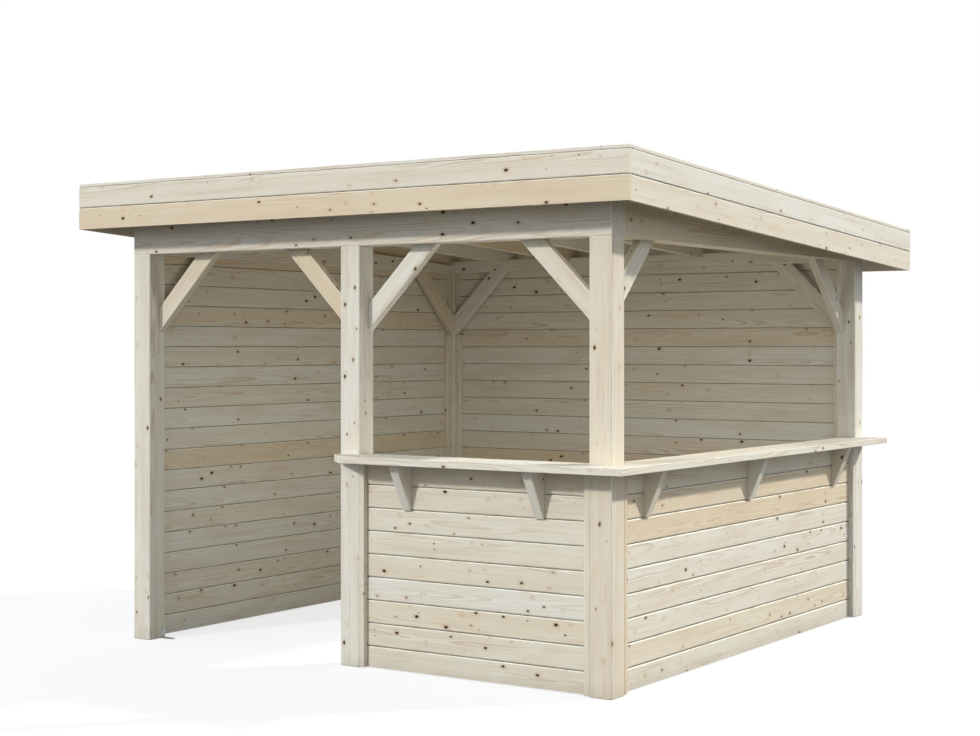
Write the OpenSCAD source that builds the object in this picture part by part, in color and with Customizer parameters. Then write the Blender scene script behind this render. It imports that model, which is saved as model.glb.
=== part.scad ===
// Open-fronted timber pavilion with a mono-pitch roof and an L-shaped serving counter.
// The front faces -Y, and Z = 0 is the ground. The origin is under the middle of the roof.

/* [Frame] */
// Width of the frame over the outer faces of its posts
frame_w = 3060; // [2550:10:3700]
// Depth of the frame over the outer faces of its posts
frame_d = 3060; // [2550:10:3700]
// Side of the square posts, and width of the beams that lie on them
post_w = 120; // [100:5:145]
// Height of the posts, up to the underside of the beams
post_h = 2137; // [1800:1:2600]
// Height of the beam over the back posts
back_beam_h = 80; // [80:1:110]

/* [Braces] */
// Reach of a knee brace along the post and along the beam
brace_reach = 430; // [350:5:520]
// Width of a knee brace, seen from its side
brace_w = 95; // [75:5:120]
// Thickness of a knee brace
brace_t = 45; // [30:1:60]

/* [Roof] */
// Slope of the roof, in degrees, falling to the back
roof_slope = 3; // [1.5:0.1:4]
// Roof overhang in front of the front posts
front_overhang = 210; // [180:5:300]
// Roof overhang behind the back posts
back_overhang = 240; // [180:5:300]
// Roof overhang at each side
side_overhang = 210; // [180:5:300]
// Height of the rafters' underside over the back posts, at their outer faces
rafter_seat = 45; // [40:1:70]
// Thickness of a rafter
rafter_t = 45; // [35:1:60]
// Height of a rafter
rafter_h = 95; // [80:1:120]
// Thickness of the roof boards
deck_t = 18; // [15:1:28]
// Thickness of the fascia boards
fascia_t = 18; // [15:1:28]
// Height of the two fascia boards together
fascia_h = 232; // [215:1:280]
// Distance of the fascia's lower edge below the rafters' underside
fascia_drop = 78; // [60:1:95]
// Height of the trim strip on the fascia
trim_h = 17; // [12:1:25]
// Width of the trim strip on the fascia
trim_w = 40; // [30:1:60]

/* [Walls] */
// Thickness of the wall boards
wall_t = 28; // [19:1:34]
// Side of the square battens that hold the walls
batten = 30; // [20:1:33]
// Gap between the walls and the ground
foot_gap = 5; // [2:1:10]

/* [Counter] */
// Height of the counter top
counter_h = 1079; // [950:1:1150]
// Thickness of the counter top
counter_t = 35; // [28:1:45]
// Reach of the counter beyond the front posts
front_reach = 166; // [140:1:200]
// Reach of the counter beyond the right-hand posts
side_reach = 142; // [140:1:200]
// How far the side counter runs past the back of the frame
counter_past = 36; // [0:1:60]
// Size of the corner cut off at the doorway end of the counter
corner_cut = 115; // [60:1:130]
// Thickness of a counter bracket
bracket_t = 50; // [35:1:60]
// Height of a counter bracket
bracket_h = 235; // [180:5:300]
// Distance from the front of a bracket to the edge of the counter
bracket_setback = 60; // [30:1:80]
// Width of a bracket's blunt lower end
bracket_toe = 13; // [8:1:20]
// Distance from a post to the middle of the next bracket on the front
front_bracket_in = 285; // [200:5:400]
// Distance from a post to the middle of the next bracket on the right
side_bracket_in = 265; // [200:5:400]

/* [Post anchors] */
// Width of an anchor
anchor_w = 32; // [25:1:36]
// Height of an anchor's upright plate
anchor_h = 60; // [40:1:90]
// Reach of an anchor's ground plate from the post
anchor_reach = 80; // [50:1:100]
// Thickness of an anchor
anchor_t = 3; // [2:0.5:4]
// Diameter of an anchor's holes
anchor_hole = 11; // [6:0.5:13]

/* [Hidden] */
rafter_count = 7;
wood = [0.87, 0.82, 0.71];
steel = [0.72, 0.74, 0.76];

// Plan: outer faces of the posts. The roof, not the frame, is centred on the origin.
left_x = -frame_w / 2;
right_x = frame_w / 2;
roof_front_y = -(frame_d + front_overhang + back_overhang) / 2;
roof_back_y = -roof_front_y;
front_y = roof_front_y + front_overhang;
back_y = roof_back_y - back_overhang;
middle_x = -post_w / 2;
roof_left_x = left_x - side_overhang;
roof_right_x = right_x + side_overhang;

// The walls stand between battens whose outer faces are flush with the posts.
wall_depth = 2 * batten + wall_t;
counter_under = counter_h - counter_t;

// Height of the rafters' underside at any depth
fall = tan(roof_slope);
function seat_z(y) = post_h + rafter_seat + (back_y - y) * fall;

// A slab that follows the roof, between two depths, from one height over the rafters'
// underside to another
module roof_slab(y1, y2, low, high, x, w) {
    translate([x, 0, 0]) rotate([90, 0, 90]) linear_extrude(w)
        polygon([[y1, seat_z(y1) + low], [y2, seat_z(y2) + low],
                 [y2, seat_z(y2) + high], [y1, seat_z(y1) + high]]);
}

module post(x, y) {
    color(wood) translate([x, y, 0]) cube([post_w, post_w, post_h]);
}

// Profile of a knee brace in the corner under a beam, with the post on its left
module brace_profile() {
    inner = brace_reach - brace_w * sqrt(2);
    polygon([[0, -brace_reach], [brace_reach, 0], [inner, 0], [0, -inner]]);
}

// A brace in the plane of the front or back wall. side is 1 where it leans to the
// right of its post, and -1 where it leans to the left.
module brace_along_x(x, y, side) {
    color(wood) translate([x, y + brace_t, post_h]) rotate([90, 0, 0])
        linear_extrude(brace_t) scale_x(side) brace_profile();
}

// A brace in the plane of a side wall. side is 1 where it leans to the back.
module brace_along_y(x, y, side) {
    color(wood) translate([x, y, post_h]) rotate([90, 0, 90])
        linear_extrude(brace_t) scale_x(side) brace_profile();
}

module scale_x(side) {
    if (side < 0) mirror([1, 0, 0]) children();
    else children();
}

// Depths and widths at which the inner faces of the braces are flush with the posts
front_brace_y = front_y + post_w - brace_t;
back_brace_y = back_y - post_w;
left_brace_x = left_x + post_w - brace_t;
right_brace_x = right_x - post_w;

module beam_front() {
    color(wood) roof_cut_beam(front_y, front_y + post_w, left_x, frame_w);
}

module beam_back() {
    color(wood) translate([left_x, back_y - post_w, post_h])
        cube([frame_w, post_w, back_beam_h]);
}

// A beam from the posts up to the rafters, cut to the slope of the roof
module roof_cut_beam(y1, y2, x, w) {
    translate([x, 0, 0]) rotate([90, 0, 90]) linear_extrude(w)
        polygon([[y1, post_h], [y2, post_h], [y2, seat_z(y2)], [y1, seat_z(y1)]]);
}

module side_beam(x) {
    color(wood) roof_cut_beam(front_y + post_w, back_y - post_w, x, post_w);
}

// Rafter i of rafter_count. It runs from fascia to fascia and is notched over the back
// beam. The first and the last lie over the side beams.
module rafter(i) {
    first = left_x + (post_w - rafter_t) / 2;
    pitch = (frame_w - post_w) / (rafter_count - 1);
    color(wood) difference() {
        roof_slab(roof_front_y + fascia_t, roof_back_y - fascia_t, 0, rafter_h,
            first + (i - 1) * pitch, rafter_t);
        translate([left_x, back_y - post_w, 0])
            cube([frame_w, post_w, post_h + back_beam_h]);
    }
}

module roof_deck() {
    color(wood) roof_slab(roof_front_y + fascia_t, roof_back_y - fascia_t,
        rafter_h, rafter_h + deck_t, roof_left_x + fascia_t,
        roof_right_x - roof_left_x - 2 * fascia_t);
}

// Height of the trim's underside over the rafters' underside
trim_low = fascia_h - fascia_drop;

// The front and back fascias, with the trim strip on them, run past the ends of the
// side fascias. edge_y is the outer face, and side is 1 at the front and -1 at the back.
module cross_fascia(edge_y, side) {
    w = roof_right_x - roof_left_x;
    inner_y = edge_y + side * fascia_t;
    lip_y = edge_y + side * trim_w;
    color(wood) {
        roof_slab(min(edge_y, inner_y), max(edge_y, inner_y), -fascia_drop,
            trim_low + trim_h, roof_left_x, w);
        roof_slab(min(edge_y, lip_y), max(edge_y, lip_y), trim_low, trim_low + trim_h,
            roof_left_x, w);
    }
}

// The trim of a side fascia ends at the trims of the front and back ones.
module side_fascia(edge_x, side) {
    inner_x = edge_x + side * fascia_t;
    lip_x = edge_x + side * trim_w;
    color(wood) {
        roof_slab(roof_front_y + fascia_t, roof_back_y - fascia_t, -fascia_drop,
            trim_low, min(edge_x, inner_x), fascia_t);
        roof_slab(roof_front_y + trim_w, roof_back_y - trim_w, -fascia_drop,
            trim_low + trim_h, min(edge_x, inner_x), fascia_t);
        roof_slab(roof_front_y + trim_w, roof_back_y - trim_w, trim_low,
            trim_low + trim_h, min(edge_x, lip_x), trim_w);
    }
}

module wall_left() {
    color(wood) translate([left_x + batten, front_y + post_w, foot_gap])
        cube([wall_t, frame_d - 2 * post_w, post_h - foot_gap]);
}

module wall_back() {
    color(wood) translate([left_x + post_w, back_y - batten - wall_t, foot_gap])
        cube([frame_w - 2 * post_w, wall_t, post_h - foot_gap]);
}

module half_wall_front() {
    x = middle_x + post_w;
    color(wood) translate([x, front_y + batten, foot_gap])
        cube([right_x - post_w - x, wall_t, counter_under - foot_gap]);
}

module half_wall_right() {
    color(wood) translate([right_x - batten - wall_t, front_y + post_w, foot_gap])
        cube([wall_t, frame_d - 2 * post_w, counter_under - foot_gap]);
}

// The four battens of a wall that is length long, starts at its corner on the outer
// face of the posts, and runs along X with its inside towards +Y. The outer two are
// height high, and the inner two inner_height.
module wall_battens(length, height, inner_height) {
    for (x = [0, length - batten]) translate([x, 0, foot_gap]) {
        cube([batten, batten, height - foot_gap]);
        translate([0, batten + wall_t, 0])
            cube([batten, batten, inner_height - foot_gap]);
    }
}

// The inner battens of the full walls end under the knee braces.
module full_wall_battens() {
    under_brace = post_h - brace_reach;
    color(wood) {
        translate([left_x, back_y - post_w, 0]) rotate(-90)
            wall_battens(frame_d - 2 * post_w, post_h, under_brace);
        translate([left_x + post_w, back_y, 0]) mirror([0, 1, 0])
            wall_battens(frame_w - 2 * post_w, post_h, under_brace);
    }
}

module half_wall_battens() {
    x = middle_x + post_w;
    color(wood) {
        translate([x, front_y, 0])
            wall_battens(right_x - post_w - x, counter_under, counter_under);
        translate([right_x, front_y + post_w, 0]) rotate(90)
            wall_battens(frame_d - 2 * post_w, counter_under, counter_under);
    }
}

// The counter lies on the half walls and passes outside the posts. Its two parts meet
// in a mitre at the corner post.
module counter_front() {
    x1 = middle_x;
    x2 = middle_x + post_w;
    x3 = right_x - post_w;
    edge = front_y - front_reach;
    inside = front_y + wall_depth;
    color(wood) translate([0, 0, counter_under]) linear_extrude(counter_t)
        polygon([[x1, front_y], [x1, edge + corner_cut], [x1 + corner_cut, edge],
                 [right_x + side_reach, edge], [right_x, front_y], [x3, front_y],
                 [x3, inside], [x2, inside], [x2, front_y]]);
}

module counter_right() {
    y1 = front_y + post_w;
    y2 = back_y - post_w;
    y3 = back_y + counter_past;
    edge = right_x + side_reach;
    inside = right_x - wall_depth;
    color(wood) translate([0, 0, counter_under]) linear_extrude(counter_t)
        polygon([[right_x, front_y], [edge, front_y - front_reach], [edge, y3],
                 [right_x, y3], [right_x, y2], [inside, y2], [inside, y1],
                 [right_x, y1]]);
}

// Profile of a bracket with the wall at 0, pointing to +X, and its top at 0
module bracket_profile(reach) {
    polygon([[0, 0], [0, -bracket_h], [bracket_toe, -bracket_h], [reach, 0]]);
}

module bracket_front(x) {
    color(wood) translate([x - bracket_t / 2, front_y + batten, counter_under])
        rotate([90, 0, 90]) linear_extrude(bracket_t) mirror([1, 0, 0])
            bracket_profile(batten + front_reach - bracket_setback);
}

module bracket_right(y) {
    color(wood) translate([right_x - batten, y + bracket_t / 2, counter_under])
        rotate([90, 0, 0]) linear_extrude(bracket_t)
            bracket_profile(batten + side_reach - bracket_setback);
}

// An angle of steel strip at the foot of a post, pointing to +X, with its side on Y = 0
module anchor() {
    color(steel) difference() {
        union() {
            cube([anchor_t, anchor_w, anchor_h]);
            cube([anchor_reach, anchor_w, anchor_t]);
        }
        translate([anchor_reach - anchor_w / 2, anchor_w / 2, -1])
            cylinder(d = anchor_hole, h = anchor_t + 2, $fn = 32);
        translate([-1, anchor_w / 2, anchor_h - anchor_w / 2]) rotate([0, 90, 0])
            cylinder(d = anchor_hole, h = anchor_t + 2, $fn = 32);
    }
}

// One anchor to a post, flush with the post's inner face, and inside the room at the
// middle post
module post_anchors() {
    front_in = front_y + post_w - anchor_w;
    back_in = back_y - post_w;
    middle_in = middle_x + (post_w + anchor_w) / 2;
    translate([left_x + post_w, front_in, 0]) anchor();
    translate([middle_in, front_y + post_w, 0]) rotate(90) anchor();
    translate([right_x - post_w, front_in, 0]) mirror([1, 0, 0]) anchor();
    translate([right_x - post_w, back_in, 0]) mirror([1, 0, 0]) anchor();
    translate([left_x + post_w, back_in, 0]) anchor();
}

post(left_x, front_y);  // post_front_left
post(middle_x, front_y);  // post_front_middle
post(right_x - post_w, front_y);  // post_front_right
post(left_x, back_y - post_w);  // post_back_left
post(right_x - post_w, back_y - post_w);  // post_back_right
beam_front();
beam_back();
side_beam(left_x);  // beam_left
side_beam(right_x - post_w);  // beam_right
brace_along_x(left_x + post_w, front_brace_y, 1);  // brace_front_left
brace_along_x(middle_x, front_brace_y, -1);  // brace_middle_left
brace_along_x(middle_x + post_w, front_brace_y, 1);  // brace_middle_right
brace_along_x(right_x - post_w, front_brace_y, -1);  // brace_front_right
brace_along_y(right_brace_x, front_y + post_w, 1);  // brace_right_front
brace_along_y(right_brace_x, back_y - post_w, -1);  // brace_right_back
brace_along_x(left_x + post_w, back_brace_y, 1);  // brace_back_left
brace_along_x(right_x - post_w, back_brace_y, -1);  // brace_back_right
brace_along_y(left_brace_x, front_y + post_w, 1);  // brace_left_front
brace_along_y(left_brace_x, back_y - post_w, -1);  // brace_left_back
rafter(1);  // rafter_1
rafter(2);  // rafter_2
rafter(3);  // rafter_3
rafter(4);  // rafter_4
rafter(5);  // rafter_5
rafter(6);  // rafter_6
rafter(7);  // rafter_7
roof_deck();
cross_fascia(roof_front_y, 1);  // fascia_front
cross_fascia(roof_back_y, -1);  // fascia_back
side_fascia(roof_left_x, 1);  // fascia_left
side_fascia(roof_right_x, -1);  // fascia_right
wall_left();
wall_back();
half_wall_front();
half_wall_right();
full_wall_battens();
half_wall_battens();
counter_front();
counter_right();
bracket_front(middle_x + post_w + front_bracket_in);  // bracket_front_1
bracket_front(right_x - post_w - front_bracket_in);  // bracket_front_2
bracket_right(front_y + post_w + side_bracket_in);  // bracket_right_1
bracket_right((front_y + back_y) / 2);  // bracket_right_2
bracket_right(back_y - post_w - side_bracket_in);  // bracket_right_3
post_anchors();
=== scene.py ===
"""Looks of the open-fronted garden pavilion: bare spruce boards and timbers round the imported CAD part."""

import math
import random

import bmesh
import bpy
from mathutils import Matrix, Vector


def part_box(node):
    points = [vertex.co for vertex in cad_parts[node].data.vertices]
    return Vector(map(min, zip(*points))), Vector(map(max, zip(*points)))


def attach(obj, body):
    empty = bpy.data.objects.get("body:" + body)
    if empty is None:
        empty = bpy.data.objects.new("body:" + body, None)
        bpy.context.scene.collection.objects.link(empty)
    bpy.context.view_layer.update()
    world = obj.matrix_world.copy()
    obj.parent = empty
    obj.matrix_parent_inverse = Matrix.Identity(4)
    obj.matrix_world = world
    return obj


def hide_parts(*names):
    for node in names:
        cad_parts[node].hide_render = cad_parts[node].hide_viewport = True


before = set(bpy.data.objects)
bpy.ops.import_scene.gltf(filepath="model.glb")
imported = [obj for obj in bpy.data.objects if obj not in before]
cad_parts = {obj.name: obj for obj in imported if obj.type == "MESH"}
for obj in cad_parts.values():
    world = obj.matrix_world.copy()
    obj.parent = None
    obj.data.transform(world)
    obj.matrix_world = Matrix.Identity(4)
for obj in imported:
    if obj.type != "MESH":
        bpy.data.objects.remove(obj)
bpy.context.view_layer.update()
rng = random.Random(41)

AXES = {"x": Vector((1, 0, 0)), "y": Vector((0, 1, 0)), "z": Vector((0, 0, 1))}
BOARD_PITCH = 0.1166    # exposed width of a wall board
FIRST_GROOVE = 0.111    # height of the lowest groove of every wall
WALL_CHAMFER = 0.0055   # V-groove half width on the walls
EDGE = 0.0028           # planed edge of posts and rails
GROOVE = 0.0036         # open width at the bottom of a groove
GAP = 0.0004            # joint between boards that only touch


# ---------------------------------------------------------------- materials
class Tree:
    """Short-hand for building a node tree."""

    def __init__(self, name):
        self.mat = bpy.data.materials.new(name)
        self.mat.use_nodes = True
        self.nt = self.mat.node_tree
        self.bsdf = self.nt.nodes["Principled BSDF"]
        self.out = self.nt.nodes["Material Output"]

    def node(self, kind, **settings):
        made = self.nt.nodes.new(kind)
        for key, value in settings.items():
            setattr(made, key, value)
        return made

    def feed(self, value, socket):
        if isinstance(value, bpy.types.NodeSocket):
            self.nt.links.new(value, socket)
        else:
            socket.default_value = value

    def math(self, op, a, b=0.0, c=None, clamp=False):
        made = self.node("ShaderNodeMath", operation=op, use_clamp=clamp)
        self.feed(a, made.inputs[0])
        self.feed(b, made.inputs[1])
        if c is not None:
            self.feed(c, made.inputs[2])
        return made.outputs[0]

    def vmath(self, op, a, b):
        made = self.node("ShaderNodeVectorMath", operation=op)
        self.feed(a, made.inputs[0])
        self.feed(b, made.inputs[1])
        return made.outputs[0]

    def ramp(self, value, low, high, out_low=0.0, out_high=1.0):
        made = self.node("ShaderNodeMapRange", interpolation_type="SMOOTHSTEP", clamp=True)
        for socket, v in zip(made.inputs[:5], (value, low, high, out_low, out_high)):
            self.feed(v, socket)
        return made.outputs[0]

    def mix(self, factor, a, b, blend="MIX"):
        made = self.node("ShaderNodeMix", data_type="RGBA", blend_type=blend)
        self.feed(factor, made.inputs[0])
        self.feed(a, made.inputs[6])
        self.feed(b, made.inputs[7])
        return made.outputs[2]

    def noise(self, vector, scale, detail=2.0, rough=0.5, out=0):
        made = self.node("ShaderNodeTexNoise")
        self.feed(vector, made.inputs["Vector"])
        made.inputs["Scale"].default_value = scale
        made.inputs["Detail"].default_value = detail
        made.inputs["Roughness"].default_value = rough
        return made.outputs[out]

    def attribute(self, name, out="Vector"):
        return self.node("ShaderNodeAttribute", attribute_name=name).outputs[out]

    def split(self, vector):
        made = self.node("ShaderNodeSeparateXYZ")
        self.feed(vector, made.inputs[0])
        return made.outputs


def rgb(r, g, b):
    """sRGB 0-255 to a linear RGBA colour."""
    def lin(c):
        c /= 255
        return c / 12.92 if c <= 0.04045 else ((c + 0.055) / 1.055) ** 2.4
    return (lin(r), lin(g), lin(b), 1.0)


def spruce(name, pale, knot_share=0.80, ring_depth=0.60):
    """Planed spruce: growth rings, knots with their halo, fibres and a tint per board, all in board coordinates; planed
    edges paler with wear and a painted highlight, groove walls dark with painted shade, and darker towards the ground.
    """
    t = Tree(name)
    grain = t.attribute("grain")
    tint = t.split(t.attribute("tint"))
    edge = t.attribute("edge", "Fac")
    # slow wander of the log along the board
    wander = t.vmath("SUBTRACT", t.noise(t.vmath("MULTIPLY", grain, (0.9, 5.0, 5.0)), 1.0, 2.0, 0.5, 1), (0.5, 0.5, 0.5))
    # knots
    cells = t.node("ShaderNodeTexVoronoi", feature="F1")
    t.feed(t.vmath("MULTIPLY", grain, (11.0, 17.0, 17.0)), cells.inputs["Vector"])
    cells.inputs["Scale"].default_value = 1.0
    knot_d = cells.outputs["Distance"]
    knot_c = t.split(cells.outputs["Color"])
    keep = t.math("GREATER_THAN", knot_c[1], 1.0 - knot_share)
    size = t.ramp(knot_c[0], 0.30, 1.0, 0.060, 0.150)
    ragged = t.math("MULTIPLY", t.math("SUBTRACT", t.noise(t.vmath("MULTIPLY", grain, (120.0, 120.0, 120.0)), 1.0, 2.0), 0.5), 0.05)
    reach = t.math("ADD", knot_d, ragged)
    knot = t.math("MULTIPLY", keep, t.math("SUBTRACT", 1.0, t.ramp(t.math("DIVIDE", reach, size), 0.72, 1.05)))
    core = t.math("MULTIPLY", keep, t.math("SUBTRACT", 1.0, t.ramp(t.math("DIVIDE", reach, size), 0.2, 0.7)))
    halo = t.math("MULTIPLY", keep, t.math("SUBTRACT", 1.0, t.ramp(t.math("DIVIDE", reach, size), 0.9, 2.6)))
    # growth rings round the pith, pushed aside by the knots
    bent = t.vmath("ADD", t.vmath("MULTIPLY", grain, (0.0, 1.0, 1.0)), t.vmath("MULTIPLY", wander, (0.0, 0.05, 0.05)))
    parts = t.split(bent)
    pith_y = t.math("ADD", parts[1], t.math("MULTIPLY", t.math("SUBTRACT", tint[2], 0.5), 0.11))
    pith_z = t.math("ADD", parts[2], t.math("MULTIPLY_ADD", tint[1], 0.05, 0.012))
    radius = t.math("SQRT", t.math("ADD", t.math("MULTIPLY", pith_y, pith_y), t.math("MULTIPLY", pith_z, pith_z)))
    along = t.split(grain)[0]
    radius = t.math("MULTIPLY_ADD", along, 0.006, radius)
    radius = t.math("MULTIPLY_ADD", halo, 0.006, radius)
    ring = t.math("FRACT", t.math("MULTIPLY", radius, 215.0))
    late = t.math("MULTIPLY", t.ramp(ring, 0.35, 0.92), t.math("SUBTRACT", 1.0, t.ramp(ring, 0.93, 1.0)))
    ring_patch = t.ramp(t.noise(t.vmath("MULTIPLY", grain, (1.6, 14.0, 14.0)), 1.0, 2.0), 0.38, 0.68, 0.25, 1.0)
    late = t.math("MULTIPLY", late, ring_patch)
    # fibres, broad streaks and blotches
    fibre = t.noise(t.vmath("MULTIPLY", grain, (7.0, 420.0, 420.0)), 1.0, 2.0, 0.6)
    streak = t.noise(t.vmath("MULTIPLY", grain, (1.3, 60.0, 60.0)), 1.0, 3.0, 0.6)
    blotch = t.noise(t.vmath("MULTIPLY", grain, (2.6, 11.0, 11.0)), 1.0, 3.0, 0.55)
    # colour
    colour = t.mix(t.ramp(tint[0], 0.0, 1.0, 0.0, 0.70), pale, rgb(220, 212, 190))
    colour = t.mix(t.ramp(tint[1], 0.55, 1.0, 0.0, 0.40), colour, rgb(220, 204, 180))
    colour = t.mix(t.ramp(tint[0], 0.80, 0.98, 0.0, 0.65), colour, rgb(217, 199, 168))
    colour = t.mix(t.ramp(blotch, 0.5, 0.8, 0.0, 0.40), colour, rgb(210, 190, 158))
    colour = t.mix(t.ramp(blotch, 0.25, 0.45, 0.28, 0.0), colour, rgb(224, 223, 212))
    colour = t.mix(t.ramp(streak, 0.45, 0.75, 0.0, 0.34), colour, rgb(203, 183, 158))
    colour = t.mix(t.math("MULTIPLY", late, ring_depth), colour, rgb(190, 160, 130))
    colour = t.mix(t.ramp(fibre, 0.35, 0.75, 0.0, 0.16), colour, rgb(176, 156, 130))
    colour = t.mix(t.math("MULTIPLY", halo, 0.34), colour, rgb(184, 152, 112))
    colour = t.mix(knot, colour, rgb(92, 74, 52))
    colour = t.mix(core, colour, rgb(42, 34, 25))
    # planed edges and chamfers (edge 1) pale towards near-white in patches: partly wear, partly a painted highlight
    # where light catches them
    wear_and_painted_highlight = t.math("MULTIPLY", t.math("MAXIMUM", edge, 0.0), t.ramp(t.noise(t.vmath("MULTIPLY", grain, (9.0, 40.0, 40.0)), 1.0, 2.0), 0.25, 0.6))
    colour = t.mix(t.math("MULTIPLY", wear_and_painted_highlight, 0.75), colour, rgb(240, 238, 226))
    # groove walls (edge -1) darkened to brown: painted shade inside the V-grooves
    colour = t.mix(t.ramp(edge, -1.0, -0.2, 0.80, 0.0), colour, rgb(98, 84, 64))
    # darker towards the ground over the lowest 9 cm, in noisy patches
    place = t.split(t.node("ShaderNodeNewGeometry").outputs["Position"])
    low_darkening = t.math("MULTIPLY", t.ramp(place[2], 0.0, 0.09, 0.30, 0.0), t.noise(t.vmath("MULTIPLY", grain, (14.0, 30.0, 30.0)), 1.0, 3.0))
    colour = t.mix(low_darkening, colour, rgb(120, 104, 82))
    t.feed(colour, t.bsdf.inputs["Base Color"])
    t.feed(t.ramp(streak, 0.3, 0.7, 0.68, 0.84), t.bsdf.inputs["Roughness"])
    t.bsdf.inputs["Specular IOR Level"].default_value = 0.16
    # relief: raised latewood, fibres and slightly proud knots
    height = t.math("MULTIPLY_ADD", fibre, 0.6, t.math("MULTIPLY", late, 0.5))
    height = t.math("MULTIPLY_ADD", knot, 0.7, height)
    bump = t.node("ShaderNodeBump")
    bump.inputs["Strength"].default_value = 0.35
    bump.inputs["Distance"].default_value = 0.0006
    t.feed(height, bump.inputs["Height"])
    t.feed(bump.outputs[0], t.bsdf.inputs["Normal"])
    return t.mat


def galvanised(name):
    t = Tree(name)
    place = t.node("ShaderNodeNewGeometry").outputs["Position"]
    cells = t.node("ShaderNodeTexVoronoi", feature="F1")
    t.feed(place, cells.inputs["Vector"])
    cells.inputs["Scale"].default_value = 160.0
    spangle = t.split(cells.outputs["Color"])[0]
    cloud = t.noise(place, 38.0, 4.0, 0.6)
    colour = t.mix(spangle, rgb(150, 154, 156), rgb(196, 199, 200))
    colour = t.mix(t.ramp(cloud, 0.55, 0.75, 0.0, 0.6), colour, rgb(112, 108, 102))
    t.feed(colour, t.bsdf.inputs["Base Color"])
    t.bsdf.inputs["Metallic"].default_value = 1.0
    t.feed(t.ramp(cloud, 0.3, 0.7, 0.34, 0.55), t.bsdf.inputs["Roughness"])
    bump = t.node("ShaderNodeBump")
    bump.inputs["Strength"].default_value = 0.2
    bump.inputs["Distance"].default_value = 0.0003
    t.feed(cloud, bump.inputs["Height"])
    t.feed(bump.outputs[0], t.bsdf.inputs["Normal"])
    return t.mat


TIMBER = spruce("spruce_timber", rgb(226, 226, 218))
BOARDS = spruce("spruce_boards", rgb(224, 224, 215))
CEILING = spruce("spruce_ceiling", rgb(216, 208, 182))
STEEL = galvanised("galvanised_steel")
SCREW = galvanised("screw_heads")


# ---------------------------------------------------------------- geometry
class Piece:
    """One object made of many separate solids, each with its own grain direction and tint."""

    def __init__(self, name, material, slot):
        self.name, self.material, self.slot = name, material, slot
        self.verts, self.faces, self.grain, self.tint, self.edge = [], [], [], [], []

    def add(self, bm, along, across, centre):
        """Takes in a bmesh solid. along and across are its grain directions."""
        out = along.cross(across)
        shift = Vector((rng.uniform(0, 60), 0, 0))
        tint = (rng.random(), rng.random(), rng.random(), 1.0)
        start = len(self.verts)
        bm.verts.ensure_lookup_table()
        bm.verts.index_update()
        biggest = max(f.calc_area() for f in bm.faces)
        for v in bm.verts:
            p = v.co - centre
            self.verts.append(tuple(v.co))
            self.grain.append((p.dot(along) + shift.x, p.dot(across), p.dot(out)))
            self.tint.append(tint)
        for f in bm.faces:
            self.faces.append([start + v.index for v in f.verts])
            # edge: -1 marks groove walls for painted shade, 1 marks small chamfers for wear and a painted highlight
            self.edge.append(-1.0 if f.material_index else 1.0 if f.smooth and f.calc_area() < biggest * 0.12 else 0.0)
        bm.free()

    def build(self, *replaced):
        mesh = bpy.data.meshes.new(self.name)
        mesh.from_pydata(self.verts, [], self.faces)
        grain = mesh.attributes.new("grain", "FLOAT_VECTOR", "POINT")
        grain.data.foreach_set("vector", [c for g in self.grain for c in g])
        tint = mesh.attributes.new("tint", "FLOAT_VECTOR", "POINT")
        tint.data.foreach_set("vector", [c for g in self.tint for c in g[:3]])
        edge = mesh.attributes.new("edge", "FLOAT", "FACE")
        edge.data.foreach_set("value", self.edge)
        mesh.materials.append(self.material)
        mesh.update()
        made = bpy.data.objects.new(self.name, mesh)
        bpy.context.scene.collection.objects.link(made)
        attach(made, "root")
        for node in replaced:
            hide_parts(node)
        return made


def block(low, high):
    bm = bmesh.new()
    bmesh.ops.create_cube(bm, size=1.0)
    size = Vector(high) - Vector(low)
    centre = (Vector(high) + Vector(low)) / 2
    for v in bm.verts:
        v.co = Vector((v.co.x * size.x, v.co.y * size.y, v.co.z * size.z)) + centre
    return bm


def cut(bm, point, normal):
    """Keeps what lies behind the plane, and closes the cut."""
    made = bmesh.ops.bisect_plane(
        bm, geom=bm.verts[:] + bm.edges[:] + bm.faces[:], plane_co=point, plane_no=normal, clear_outer=True, dist=1e-6
    )
    edges = [e for e in made["geom_cut"] if isinstance(e, bmesh.types.BMEdge)]
    if edges:
        bmesh.ops.contextual_create(bm, geom=edges)
    bmesh.ops.recalc_face_normals(bm, faces=bm.faces[:])
    return bm


def bevel(bm, width=EDGE, along=None, segments=1):
    """Planes the edges: all of them, or those that run along one direction."""
    for f in bm.faces:
        f.smooth = False
    chosen = [
        e for e in bm.edges
        if along is None or abs((e.verts[1].co - e.verts[0].co).normalized().dot(along)) > 0.99
    ]
    made = bmesh.ops.bevel(bm, geom=chosen, offset=width, segments=segments, profile=0.5, affect="EDGES", clamp_overlap=True)
    # the smooth flag also marks these faces for the wear and painted highlight of the spruce material
    for f in made["faces"]:
        f.smooth = True
    return bm


def timber(piece, low, high, along, across, cuts=(), width=EDGE, only_long=False):
    """A planed timber in a box, cut by planes."""
    bm = block(low, high)
    for point, normal in cuts:
        cut(bm, Vector(point), Vector(normal))
    bevel(bm, width, AXES[along] if only_long else None)
    piece.add(bm, AXES[along], AXES[across], (Vector(low) + Vector(high)) / 2)


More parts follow.
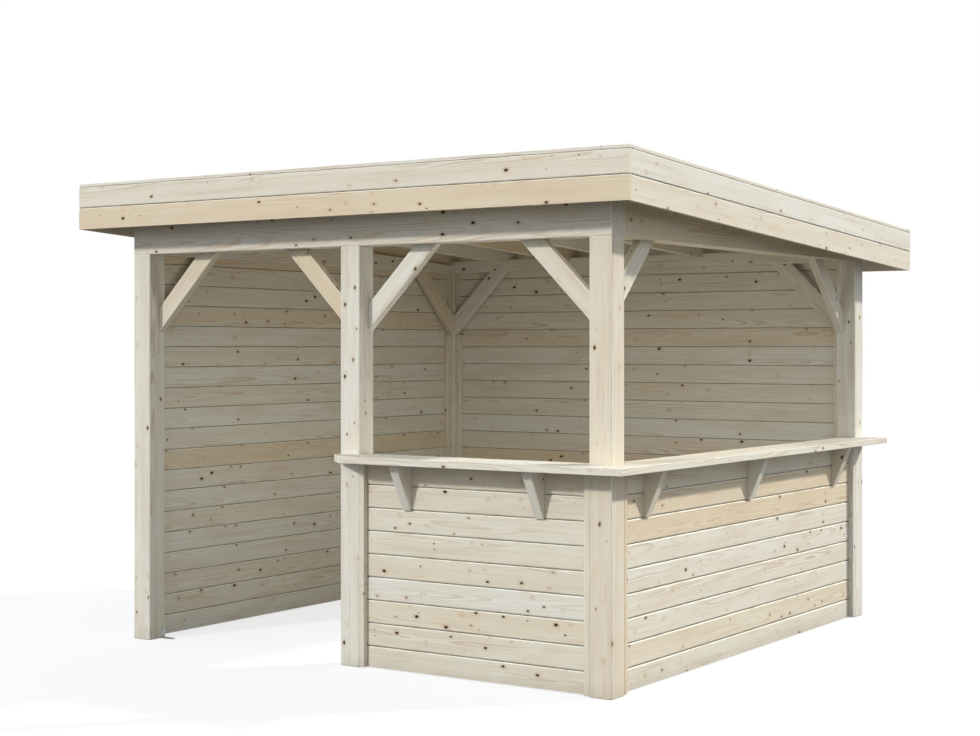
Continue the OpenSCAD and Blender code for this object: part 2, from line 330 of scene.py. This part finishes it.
def extrusion(piece, profile, plane, start, end, along=None, centre=None):
    """A profile of (a, b) points drawn along one axis. plane names the axes of a and b, then the axis drawn along."""
    a, b, c = (AXES[k] for k in plane)
    bm = bmesh.new()
    near = [bm.verts.new(a * p + b * q + c * start) for p, q in profile]
    far = [bm.verts.new(a * p + b * q + c * end) for p, q in profile]
    bm.faces.new(near)
    bm.faces.new(far)
    for i in range(len(profile)):
        j = (i + 1) % len(profile)
        face = bm.faces.new((near[i], near[j], far[j], far[i]))
        side = near[i].co - near[j].co
        slanted = min(abs(side.dot(a)), abs(side.dot(b))) > 0.0005
        # smooth marks the narrow chamfers, which the spruce material paints with wear and a painted highlight
        face.smooth = slanted and side.length < 0.012
        # material_index marks the groove walls, which the spruce material darkens as painted shade
        face.material_index = int(not slanted and side.length < 0.014 and len(profile) > 8)
    bmesh.ops.recalc_face_normals(bm, faces=bm.faces[:])
    middle = centre or (sum((v.co for v in bm.verts), Vector()) / len(bm.verts))
    return bm, middle


def board_profile(out_a, in_a, low, high, lower=WALL_CHAMFER, upper=WALL_CHAMFER, inner=0.0040):
    """Cross-section of a wall board: (thickness, height) points with V chamfers on both faces."""
    side = 1 if in_a > out_a else -1
    thick = abs(in_a - out_a)
    tongue = (out_a + side * thick * 0.42, out_a + side * thick * 0.64)
    points = []
    for edge_z, chamfer, up in ((high, upper, 1), (low, lower, -1)):
        shut = edge_z
        edge_z -= up * (GROOVE / 2 if chamfer else 0)
        out_c, in_c = (chamfer, inner) if chamfer else (0.0004, 0.0004)
        run = [(out_a, edge_z - up * out_c), (out_a + side * out_c, edge_z)]
        if chamfer:
            run += [(tongue[0], edge_z), (tongue[0], shut), (tongue[1], shut), (tongue[1], edge_z)]
        run += [(in_a - side * in_c, edge_z), (in_a, edge_z - up * in_c)]
        points += run if up > 0 else run[::-1]
    return points


def wall(name, node, plane, outer_low):
    """Horizontal boards over a CAD wall. outer_low is True when the outside is the lower coordinate."""
    low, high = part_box(node)
    thick, run = plane
    ti, ri = "xyz".index(thick), "xyz".index(run)
    out_a, in_a = (low[ti], high[ti]) if outer_low else (high[ti], low[ti])
    piece = Piece(name, BOARDS, "spruce_boards")
    top, bottom, groove = high.z, low.z, FIRST_GROOVE
    while bottom < top - 1e-4:
        upper = min(groove, top)
        last = upper > top - 0.02
        if last:
            upper = top
        profile = board_profile(
            out_a, in_a, bottom, upper,
            0.0 if bottom == low.z else WALL_CHAMFER, 0.0 if last else WALL_CHAMFER,
        )
        bm, middle = extrusion(piece, profile, (thick, "z", run), low[ri], high[ri])
        piece.add(bm, AXES[run], AXES["z"], middle)
        bottom, groove = upper, groove + BOARD_PITCH
    piece.build(node)
    return piece


# walls
wall("wall_left_boards", "wall_left", ("x", "y"), True)
wall("wall_back_boards", "wall_back", ("y", "x"), False)
wall("half_wall_front_boards", "half_wall_front", ("y", "x"), True)
wall("half_wall_right_boards", "half_wall_right", ("x", "y"), False)

# posts, with their tops cut square under the beams
POSTS = ["post_front_left", "post_front_middle", "post_front_right", "post_back_left", "post_back_right"]
for node in POSTS:
    low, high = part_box(node)
    piece = Piece(node + "_timber", TIMBER, "spruce_timber")
    timber(piece, low, high, "z", "x", width=0.004)
    piece.build(node)

# roof slope, from the front and back fascias
rafter_low, rafter_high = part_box("rafter_4")
deck_low, deck_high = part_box("roof_deck")
deck_run = deck_high.y - deck_low.y
fascia_low, fascia_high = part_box("fascia_left")
front_low, front_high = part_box("fascia_front")
back_low, back_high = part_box("fascia_back")
slope = (front_low.z - back_low.z) / (back_high.y - front_low.y - (front_high.y - front_low.y))
pitch = math.atan(slope)
UP = Vector((0, math.sin(pitch), math.cos(pitch)))      # across the roof boards, upwards
DOWNHILL = Vector((0, math.cos(pitch), -math.sin(pitch)))

# beams
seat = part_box("beam_front")[1]
for node, along in (("beam_front", "x"), ("beam_back", "x"), ("beam_left", "y"), ("beam_right", "y")):
    low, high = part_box(node)
    piece = Piece(node + "_timber", TIMBER, "spruce_timber")
    cuts = []
    if node != "beam_back":
        top_y = low.y
        cuts = [((0, top_y, high.z), tuple(UP))]
    timber(piece, low, high, along, "z", cuts, width=0.0025)
    piece.build(node)

# braces: 45 degree pieces between a post and a beam
def brace(node):
    low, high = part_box(node)
    size = high - low
    run = 0 if size.x > size.y else 1
    low_post = {
        "brace_front_left": 1, "brace_middle_left": -1, "brace_middle_right": 1, "brace_front_right": -1,
        "brace_right_front": 1, "brace_right_back": -1, "brace_back_left": 1, "brace_back_right": -1,
        "brace_left_front": 1, "brace_left_back": -1,
    }[node]
    axis = AXES["xyz"[run]] * low_post
    start = Vector(low) if low_post > 0 else Vector(low) + AXES["xyz"[run]] * size[run]
    reach, width = size[run], 0.095
    inner = width * math.sqrt(2)
    thick_axis = AXES["yx"[run]]
    thickness = size[1 - run]
    base = Vector(start)
    base.z = low.z
    points = [(0, 0), (reach, reach), (reach - inner, reach), (0, inner)]
    bm = bmesh.new()
    near = [bm.verts.new(base + axis * p + AXES["z"] * q) for p, q in points]
    far = [bm.verts.new(base + axis * p + AXES["z"] * q + thick_axis * thickness) for p, q in points]
    bm.faces.new(near)
    bm.faces.new(far)
    for i in range(4):
        j = (i + 1) % 4
        bm.faces.new((near[i], near[j], far[j], far[i]))
    bmesh.ops.recalc_face_normals(bm, faces=bm.faces[:])
    bevel(bm, EDGE)
    along = (axis + AXES["z"]).normalized()
    across = (AXES["z"] - axis).normalized()
    middle = sum((v.co for v in bm.verts), Vector()) / len(bm.verts)
    piece = Piece(node + "_timber", TIMBER, "spruce_timber")
    piece.add(bm, along, across, middle)
    piece.build(node)


for node in [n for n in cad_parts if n.startswith("brace_")]:
    brace(node)

# rafters
piece = Piece("rafter_timbers", TIMBER, "spruce_timber")
rafters = sorted(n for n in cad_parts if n.startswith("rafter_"))
RAFTER_DEEP = 0.095
for node in rafters:
    low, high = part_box(node)
    top_front = Vector((0, low.y, high.z))
    lower_front = Vector((0, low.y, high.z - RAFTER_DEEP / math.cos(pitch)))
    timber(piece, low, high, "y", "z", [(top_front, UP), (lower_front, -UP)], width=EDGE)
piece.build(*rafters)

# roof boards across the rafters, chamfered on all four long edges so that V-grooves show below, bare felt-free boards
# above
piece = Piece("roof_boards", CEILING, "spruce_boards")
low, high = deck_low, deck_high
deck_thick = (high.z - low.z) - deck_run * slope
ROOF_BOARD = 0.104
count = round(deck_run / ROOF_BOARD)
step = deck_run / count
for i in range(count):
    y0, y1 = low.y + i * step + GAP / 2, low.y + (i + 1) * step - GAP / 2
    if i == 0:
        y0 = low.y
    if i == count - 1:
        y1 = high.y
    def z_under(y):
        return high.z - deck_thick - (y - low.y) * slope
    c = 0.003
    profile = [
        (y0 + c, z_under(y0 + c)), (y1 - c, z_under(y1 - c)), (y1, z_under(y1) + c), (y1, z_under(y1) + deck_thick - c),
        (y1 - c, z_under(y1 - c) + deck_thick), (y0 + c, z_under(y0 + c) + deck_thick),
        (y0, z_under(y0) + deck_thick - c), (y0, z_under(y0) + c),
    ]
    bm, middle = extrusion(piece, profile, ("y", "z", "x"), low.x, high.x)
    piece.add(bm, AXES["x"], AXES["y"], middle)
piece.build("roof_deck")

# fascias: two boards and a trim strip on each side
TRIM_H, TRIM_W, FASCIA_T = 0.017, 0.040, 0.018
FASCIA_GROOVE = 0.118   # height of the groove above the lower edge


def cross_fascia(node, outside):
    low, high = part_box(node)
    piece = Piece(node + "_boards", BOARDS, "spruce_boards")
    out_y = low.y if outside < 0 else high.y
    in_y = out_y - outside * FASCIA_T
    top = high.z - TRIM_H
    levels = [low.z, low.z + FASCIA_GROOVE, top]
    for z0, z1 in zip(levels, levels[1:]):
        first, last = z0 == low.z, z1 == top
        profile = board_profile(
            out_y, in_y, z0, z1,
            0.0 if first else 0.004, 0.004, inner=0.002,
        )
        bm, middle = extrusion(piece, profile, ("y", "z", "x"), low.x, high.x)
        piece.add(bm, AXES["x"], AXES["z"], middle)
    trim_in = out_y - outside * TRIM_W
    timber(
        piece, (low.x, min(out_y, trim_in), top), (high.x, max(out_y, trim_in), high.z), "x", "y", width=0.0018,
    )
    piece.build(node)


def side_fascia(node, outside):
    low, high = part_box(node)
    out_x = low.x if outside < 0 else high.x
    in_x = out_x - outside * FASCIA_T
    inner_front, inner_back = front_low.y + FASCIA_T, back_high.y - FASCIA_T
    piece = Piece(node + "_boards", BOARDS, "spruce_boards")
    base = front_low.z
    top = front_high.z - TRIM_H - base
    levels = [0.0, FASCIA_GROOVE, top]

    def lift(bm):
        for v in bm.verts:
            v.co.z -= (v.co.y - front_low.y) * slope
        return bm

    for z0, z1 in zip(levels, levels[1:]):
        first, last = z0 == 0.0, z1 == top
        profile = board_profile(
            out_x, in_x, base + z0, base + z1,
            0.0 if first else 0.004, 0.004, inner=0.002,
        )
        bm, middle = extrusion(piece, profile, ("x", "z", "y"), inner_front, inner_back)
        piece.add(lift(bm), DOWNHILL, UP, middle)
    trim_in = out_x - outside * TRIM_W
    bm = block(
        (min(out_x, trim_in), front_low.y + TRIM_W, base + top), (max(out_x, trim_in), back_high.y - TRIM_W, base + top + TRIM_H)
    )
    bevel(bm, 0.0018)
    piece.add(lift(bm), DOWNHILL, AXES["x"], Vector((out_x, 0, base + top)))
    piece.build(node)


cross_fascia("fascia_front", -1)
cross_fascia("fascia_back", 1)
side_fascia("fascia_left", -1)
side_fascia("fascia_right", 1)

# counters: mitred planks round the corner post
cf_low, cf_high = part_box("counter_front")
cr_low, cr_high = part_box("counter_right")
post_low, post_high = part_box("post_front_right")
CORNER_CUT = 0.115


def poly_prism(points, z0, z1):
    bm = bmesh.new()
    near = [bm.verts.new((x, y, z0)) for x, y in points]
    far = [bm.verts.new((x, y, z1)) for x, y in points]
    bm.faces.new(near)
    bm.faces.new(far)
    for i in range(len(points)):
        j = (i + 1) % len(points)
        bm.faces.new((near[i], near[j], far[j], far[i]))
    bmesh.ops.recalc_face_normals(bm, faces=bm.faces[:])
    return bm


def counter(node, points, along, across, z0, z1):
    piece = Piece(node + "_plank", TIMBER, "spruce_timber")
    bm = poly_prism(points, z0, z1)
    bevel(bm, 0.002)
    middle = sum((v.co for v in bm.verts), Vector()) / len(bm.verts)
    piece.add(bm, AXES[along], AXES[across], middle)
    piece.build(node)


fx0, fy0, fy1, rx1, ry1 = cf_low.x, cf_low.y, cf_high.y, cr_high.x, cr_high.y
rx0 = cr_low.x
front_points = [
    (fx0, post_low.y), (fx0, fy0 + CORNER_CUT), (fx0 + CORNER_CUT, fy0), (rx1, fy0), (post_high.x, post_low.y),
    (post_low.x, post_low.y), (post_low.x, fy1), (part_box("post_front_middle")[1].x, fy1),
    (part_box("post_front_middle")[1].x, post_low.y),
]
counter("counter_front", front_points, "x", "y", cf_low.z, cf_high.z)
back_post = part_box("post_back_right")[0]
right_points = [
    (post_high.x, post_low.y), (rx1, fy0), (rx1, ry1), (post_high.x, ry1), (post_high.x, back_post.y),
    (rx0, back_post.y), (rx0, post_high.y), (post_high.x, post_high.y),
]
counter("counter_right", right_points, "y", "x", cr_low.z, cr_high.z)

# brackets under the counters
BRACKET_TOE = 0.013


def bracket(node):
    low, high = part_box(node)
    piece = Piece(node + "_block", TIMBER, "spruce_timber")
    front = "front" in node
    reach = (high.y - low.y) if front else (high.x - low.x)
    points = [(0, high.z), (0, low.z), (BRACKET_TOE, low.z), (reach, high.z)]
    if front:
        profile = [(high.y - a, z) for a, z in points]
        bm, middle = extrusion(piece, profile, ("y", "z", "x"), low.x, high.x)
        slant = Vector((0, -(reach - BRACKET_TOE), high.z - low.z)).normalized()
        side = AXES["x"]
    else:
        profile = [(low.x + a, z) for a, z in points]
        bm, middle = extrusion(piece, profile, ("x", "z", "y"), low.y, high.y)
        slant = Vector((reach - BRACKET_TOE, 0, high.z - low.z)).normalized()
        side = AXES["y"]
    bevel(bm, 0.0018)
    piece.add(bm, slant, side, middle)
    piece.build(node)


for node in [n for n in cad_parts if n.startswith("bracket_")]:
    bracket(node)


def solids(node):
    """Boxes of the separate solids in a CAD node."""
    bm = bmesh.new()
    bm.from_mesh(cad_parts[node].data)
    bmesh.ops.remove_doubles(bm, verts=bm.verts[:], dist=1e-5)
    seen, found = set(), []
    for first in bm.verts:
        if first in seen:
            continue
        seen.add(first)
        stack, island = [first], []
        while stack:
            v = stack.pop()
            island.append(v.co.copy())
            for e in v.link_edges:
                other = e.other_vert(v)
                if other not in seen:
                    seen.add(other)
                    stack.append(other)
        found.append((Vector(min(c[i] for c in island) for i in range(3)), Vector(max(c[i] for c in island) for i in range(3))))
    bm.free()
    return sorted(found, key=lambda b: tuple(round(c, 4) for c in (*b[0], *b[1])))


# battens that hold the wall boards
for node in ("full_wall_battens", "half_wall_battens"):
    piece = Piece(node + "_strips", TIMBER, "spruce_timber")
    for low, high in solids(node):
        size = high - low
        along = "xyz"[max(range(3), key=lambda i: size[i])]
        timber(piece, low, high, along, "x" if along != "x" else "y", width=0.0016)
    piece.build(node)


# anchors: bent strip, bolts through the post and a hole for the ground screw
def disc(bm, centre, axis, radius, height, sides=20, dome=0.0):
    a = Vector((0, 0, 1)) if abs(axis.z) < 0.9 else Vector((1, 0, 0))
    b = axis.cross(a).normalized()
    a = b.cross(axis).normalized()
    rings = []
    for h, r in ((0, radius), (height * 0.7, radius), (height, radius * (0.8 - dome))):
        rings.append([
            bm.verts.new(centre + axis * h + (a * math.cos(k * math.tau / sides) + b * math.sin(k * math.tau / sides)) * r)
            for k in range(sides)
        ])
    for r0, r1 in zip(rings, rings[1:]):
        for k in range(sides):
            bm.faces.new((r0[k], r0[(k + 1) % sides], r1[(k + 1) % sides], r1[k]))
    bm.faces.new(rings[-1])
    bm.faces.new(rings[0])
    bmesh.ops.recalc_face_normals(bm, faces=bm.faces[:])
    return bm


def anchor_bolts():
    piece = Piece("anchor_bolts", STEEL, "galvanised_steel")
    for low, high in solids("post_anchors"):
        k = 0 if high.x - low.x > high.y - low.y else 1      # the way the foot points
        at_low = min(abs(low[k] - b) for b in post_sides[k]) < min(abs(high[k] - b) for b in post_sides[k])
        out = AXES["xy"[k]] * (1 if at_low else -1)
        spot = (low + high) / 2
        spot[k] = (low if at_low else high)[k] + out[k] * ANCHOR_T
        spot.z = high.z - BOLT_DOWN
        for radius, proud, sides in ((0.0085, 0.0055, 6), (0.011, 0.0015, 24)):
            piece.add(disc(bmesh.new(), spot, out, radius, proud, sides), AXES["x"], AXES["y"], spot)
    piece.build()


ANCHOR_T, BOLT_DOWN = 0.003, 0.016      # plate thickness, and the bolt below the plate's top
post_sides = [[corner[k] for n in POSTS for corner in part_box(n)] for k in (0, 1)]
anchor_bolts()
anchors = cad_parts["post_anchors"]
anchors.data.materials.clear()
anchors.data.materials.append(STEEL)


# countersunk screws
def screws():
    piece = Piece("screw_heads", SCREW, "galvanised_steel")
    spots = []
    for node, side in (("fascia_front", -1), ("fascia_back", 1)):
        low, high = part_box(node)
        y = low.y if side < 0 else high.y
        for rafter in rafters:
            rl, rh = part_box(rafter)
            x = (rl.x + rh.x) / 2
            for z in (low.z + 0.035, low.z + 0.085, low.z + 0.150, low.z + 0.195):
                spots.append((Vector((x, y, z)), Vector((0, side, 0))))
    for node, thick, side, at in (
        ("half_wall_battens", 1, -1, "half_wall_front"), ("half_wall_battens", 0, 1, "half_wall_right"),
        ("full_wall_battens", 0, -1, "wall_left"), ("full_wall_battens", 1, 1, "wall_back"),
    ):
        wall_low, wall_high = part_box(at)
        for low, high in solids(node):
            outside = (high[thick] > wall_high[thick] + 1e-4) if side > 0 else (low[thick] < wall_low[thick] - 1e-4)
            near = low[thick] > wall_low[thick] - 0.05 and high[thick] < wall_high[thick] + 0.05
            if not (outside and near):
                continue
            face = high[thick] if side > 0 else low[thick]
            z = low.z + 0.06
            while z < high.z - 0.03:
                p = (low + high) / 2
                p[thick], p.z = face, z
                d = Vector((0, 0, 0))
                d[thick] = side
                spots.append((p, d))
                z += 0.35
    for p, d in spots:
        bm = disc(bmesh.new(), p - d * 0.0008, d, 0.0034, 0.0009, 12)
        piece.add(bm, AXES["x"], AXES["y"], p)
    piece.build()


screws()

# ---------------------------------------------------------------- floor, light and camera
def plain(name, seen, felt):
    """A matt colour that the camera sees, and the duller one by which it lights the object."""
    t = Tree(name)
    path = t.node("ShaderNodeLightPath")
    view = t.math("MAXIMUM", path.outputs["Is Camera Ray"], path.outputs["Is Glossy Ray"])
    t.feed(t.mix(view, felt, seen), t.bsdf.inputs["Base Color"])
    t.bsdf.inputs["Roughness"].default_value = 0.9
    t.bsdf.inputs["Specular IOR Level"].default_value = 0.0
    glow = t.node("ShaderNodeEmission")
    blend = t.node("ShaderNodeMixShader")
    t.feed(t.math("MULTIPLY", view, 0.72), blend.inputs[0])
    t.feed(t.bsdf.outputs[0], blend.inputs[1])
    t.feed(glow.outputs[0], blend.inputs[2])
    t.feed(blend.outputs[0], t.out.inputs["Surface"])
    return t.mat


bm = bmesh.new()
bmesh.ops.create_circle(bm, cap_ends=True, radius=60.0, segments=96)
mesh = bpy.data.meshes.new("floor")
bm.to_mesh(mesh)
bm.free()
mesh.materials.append(plain("pale_floor", (1.0, 1.0, 1.0, 1.0), (0.12, 0.12, 0.12, 1.0)))
floor = bpy.data.objects.new("floor", mesh)
bpy.context.scene.collection.objects.link(floor)

world = bpy.data.worlds.new("studio")
bpy.context.scene.world = world
world.use_nodes = True
nt = world.node_tree
background = nt.nodes["Background"]
path = nt.nodes.new("ShaderNodeLightPath")
either = nt.nodes.new("ShaderNodeMath")
either.operation = "MAXIMUM"
nt.links.new(path.outputs["Is Camera Ray"], either.inputs[0])
nt.links.new(path.outputs["Is Glossy Ray"], either.inputs[1])
mix = nt.nodes.new("ShaderNodeMix")
mix.data_type = "RGBA"
nt.links.new(either.outputs[0], mix.inputs[0])
sky = nt.nodes.new("ShaderNodeMix")
sky.data_type = "RGBA"
height = nt.nodes.new("ShaderNodeSeparateXYZ")
nt.links.new(nt.nodes.new("ShaderNodeTexCoord").outputs["Generated"], height.inputs[0])
nt.links.new(height.outputs[2], sky.inputs[0])
sky.inputs[6].default_value = (1.08, 1.12, 1.15, 1.0)
sky.inputs[7].default_value = (0.36, 0.44, 0.54, 1.0)
nt.links.new(sky.outputs[2], mix.inputs[6])
mix.inputs[7].default_value = (1.0, 1.0, 1.0, 1.0)
nt.links.new(mix.outputs[2], background.inputs["Color"])
background.inputs["Strength"].default_value = 1.0


def sun(name, travel, energy, colour, size_deg):
    data = bpy.data.lights.new(name, "SUN")
    data.energy, data.color, data.angle = energy, colour, math.radians(size_deg)
    made = bpy.data.objects.new(name, data)
    made.rotation_euler = Vector(travel).to_track_quat("-Z", "Y").to_euler()
    bpy.context.scene.collection.objects.link(made)


sun("key_from_back_right", (-1.0, -1.13, -0.95), 3.2, (1.0, 0.97, 0.91), 3.0)
sun("fill_from_front_left", (0.37, 1.0, -0.52), 1.92, (1.0, 0.97, 0.93), 5.0)
room = bpy.data.lights.new("room_fill", "POINT")
room.energy, room.color, room.shadow_soft_size = 22.0, (1.0, 1.0, 0.93), 0.4
lamp = bpy.data.objects.new("room_fill", room)
lamp.location = (0.6, -0.7, 0.85)
lamp.visible_camera = False
bpy.context.scene.collection.objects.link(lamp)

camera = bpy.data.cameras.new("camera")
camera.sensor_width, camera.lens = 36.0, 63.5
camera.shift_y = -0.0211
camera.dof.use_dof = False
view = bpy.data.objects.new("camera", camera)
view.location = (5.477, -8.454, 1.622)
view.rotation_euler = (math.radians(90), 0, math.radians(33.765))
bpy.context.scene.collection.objects.link(view)
bpy.context.scene.camera = view
bpy.context.scene.view_settings.view_transform = "Standard"
